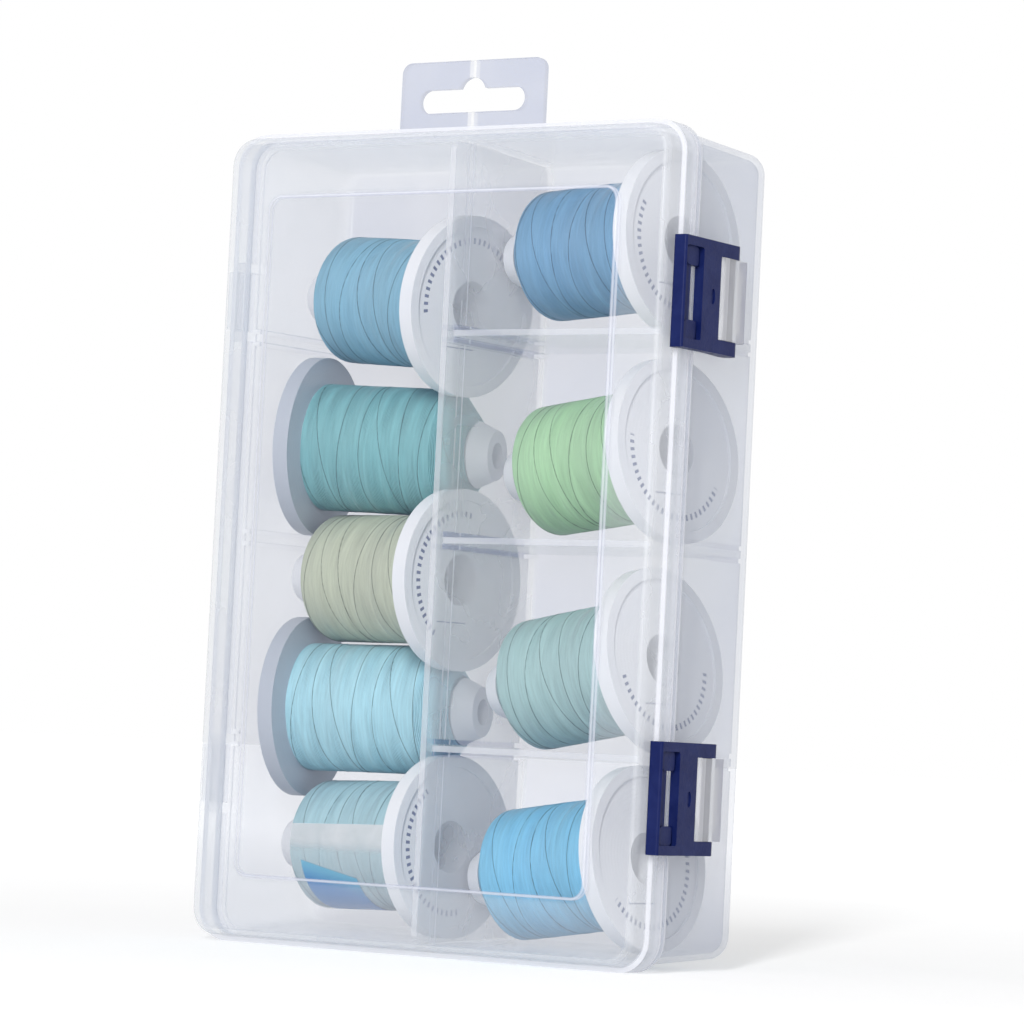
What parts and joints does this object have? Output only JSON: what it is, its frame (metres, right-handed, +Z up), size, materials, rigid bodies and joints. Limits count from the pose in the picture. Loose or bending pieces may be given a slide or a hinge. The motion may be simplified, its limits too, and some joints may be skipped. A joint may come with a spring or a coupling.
{
  "type": "embroidery thread box",
  "caption": "Clear plastic thread box with a hinged lid, blue side latches, a hang tab and full thread spools.",
  "frame": {"origin": "mid width, on the plane where lid and tray meet, at the lower rim's underside", "axes": "+Z up towards the hang tab, +Y towards the tray's back, +X towards the latches"},
  "size_m": [0.1413, 0.0518, 0.2226],
  "materials": {
    "clear_plastic": "milky translucent moulded plastic",
    "latch_plastic": "dark navy moulded plastic",
    "label_film": "thin clear film with a plain printed panel",
    "spool_plastic": "translucent white moulded plastic",
    "thread_steel_blue": "wound embroidery thread with a soft sheen",
    "thread_teal": "wound embroidery thread with a soft sheen",
    "thread_cream": "wound embroidery thread with a soft sheen",
    "thread_aqua": "wound embroidery thread with a soft sheen",
    "thread_ivory": "wound embroidery thread with a soft sheen",
    "thread_denim": "wound embroidery thread with a soft sheen",
    "thread_spring_green": "wound embroidery thread with a soft sheen",
    "thread_grey_green": "wound embroidery thread with a soft sheen",
    "thread_sky": "wound embroidery thread with a soft sheen"
  },
  "bodies": {
    "tray": {"base_tray": "clear_plastic", "divider_1": "clear_plastic", "divider_2": "clear_plastic", "divider_3": "clear_plastic"},
    "lid_body": {"lid": "clear_plastic"},
    "latch_upper_body": {"latch_upper": "latch_plastic"},
    "latch_lower_body": {"latch_lower": "latch_plastic"},
    "spool_1_body": {"spool_1": "spool_plastic", "thread_1": "thread_steel_blue"},
    "spool_2_body": {"spool_2": "spool_plastic", "thread_2": "thread_teal"},
    "spool_3_body": {"spool_3": "spool_plastic", "thread_3": "thread_cream"},
    "spool_4_body": {"spool_4": "spool_plastic", "thread_4": "thread_aqua"},
    "spool_5_body": {"spool_5": "spool_plastic", "thread_5": "thread_ivory", "label_film": "label_film"},
    "spool_6_body": {"spool_6": "spool_plastic", "thread_6": "thread_denim"},
    "spool_7_body": {"spool_7": "spool_plastic", "thread_7": "thread_spring_green"},
    "spool_8_body": {"spool_8": "spool_plastic", "thread_8": "thread_grey_green"},
    "spool_9_body": {"spool_9": "spool_plastic", "thread_9": "thread_sky"}
  },
  "joints": [
    {"name": "lid_hinge", "type": "hinge", "parent": "tray", "child": "lid_body", "pos_m": [-0.06935, 0.002, 0.1025], "axis": [0, 0, -1], "range_deg": [0, 180]},
    {"name": "latch_lower_swing", "type": "hinge", "parent": "tray", "child": "latch_lower_body", "pos_m": [0.06725, 0.0168, 0.042], "axis": [0, 0, 1], "range_deg": [0, 120]},
    {"name": "latch_upper_swing", "type": "hinge", "parent": "tray", "child": "latch_upper_body", "pos_m": [0.06725, 0.0168, 0.163], "axis": [0, 0, 1], "range_deg": [0, 120]},
    {"name": "spool_1_spin", "type": "hinge", "parent": "tray", "child": "spool_1_body", "pos_m": [-0.0061, 0.01467, 0.16246], "axis": [-0.9876, 0.1392, 0.0725], "continuous": true},
    {"name": "spool_2_spin", "type": "hinge", "parent": "tray", "child": "spool_2_body", "pos_m": [-0.0537, 0.01465, 0.12696], "axis": [0.9835, 0.1788, -0.0258], "continuous": true},
    {"name": "spool_3_spin", "type": "hinge", "parent": "tray", "child": "spool_3_body", "pos_m": [-0.0048, 0.01471, 0.09351], "axis": [-0.9949, 0.1011, -0.0035], "continuous": true},
    {"name": "spool_4_spin", "type": "hinge", "parent": "tray", "child": "spool_4_body", "pos_m": [-0.0536, 0.01466, 0.06012], "axis": [0.9876, 0.1564, 0.0121], "continuous": true},
    {"name": "spool_5_spin", "type": "hinge", "parent": "tray", "child": "spool_5_body", "pos_m": [-0.0038, 0.01471, 0.02675], "axis": [-0.9939, 0.1045, -0.0347], "continuous": true},
    {"name": "spool_6_spin", "type": "hinge", "parent": "tray", "child": "spool_6_body", "pos_m": [0.0548, 0.01469, 0.17769], "axis": [-0.9917, 0.1149, -0.0572], "continuous": true},
    {"name": "spool_7_spin", "type": "hinge", "parent": "tray", "child": "spool_7_body", "pos_m": [0.0564, 0.01466, 0.12657], "axis": [-0.9803, 0.1564, -0.1204], "continuous": true},
    {"name": "spool_8_spin", "type": "hinge", "parent": "tray", "child": "spool_8_body", "pos_m": [0.0555, 0.0147, 0.07537], "axis": [-0.9771, 0.1115, -0.1811], "continuous": true},
    {"name": "spool_9_spin", "type": "hinge", "parent": "tray", "child": "spool_9_body", "pos_m": [0.0536, 0.01472, 0.02697], "axis": [-0.9837, 0.0958, -0.1523], "continuous": true}
  ]
}
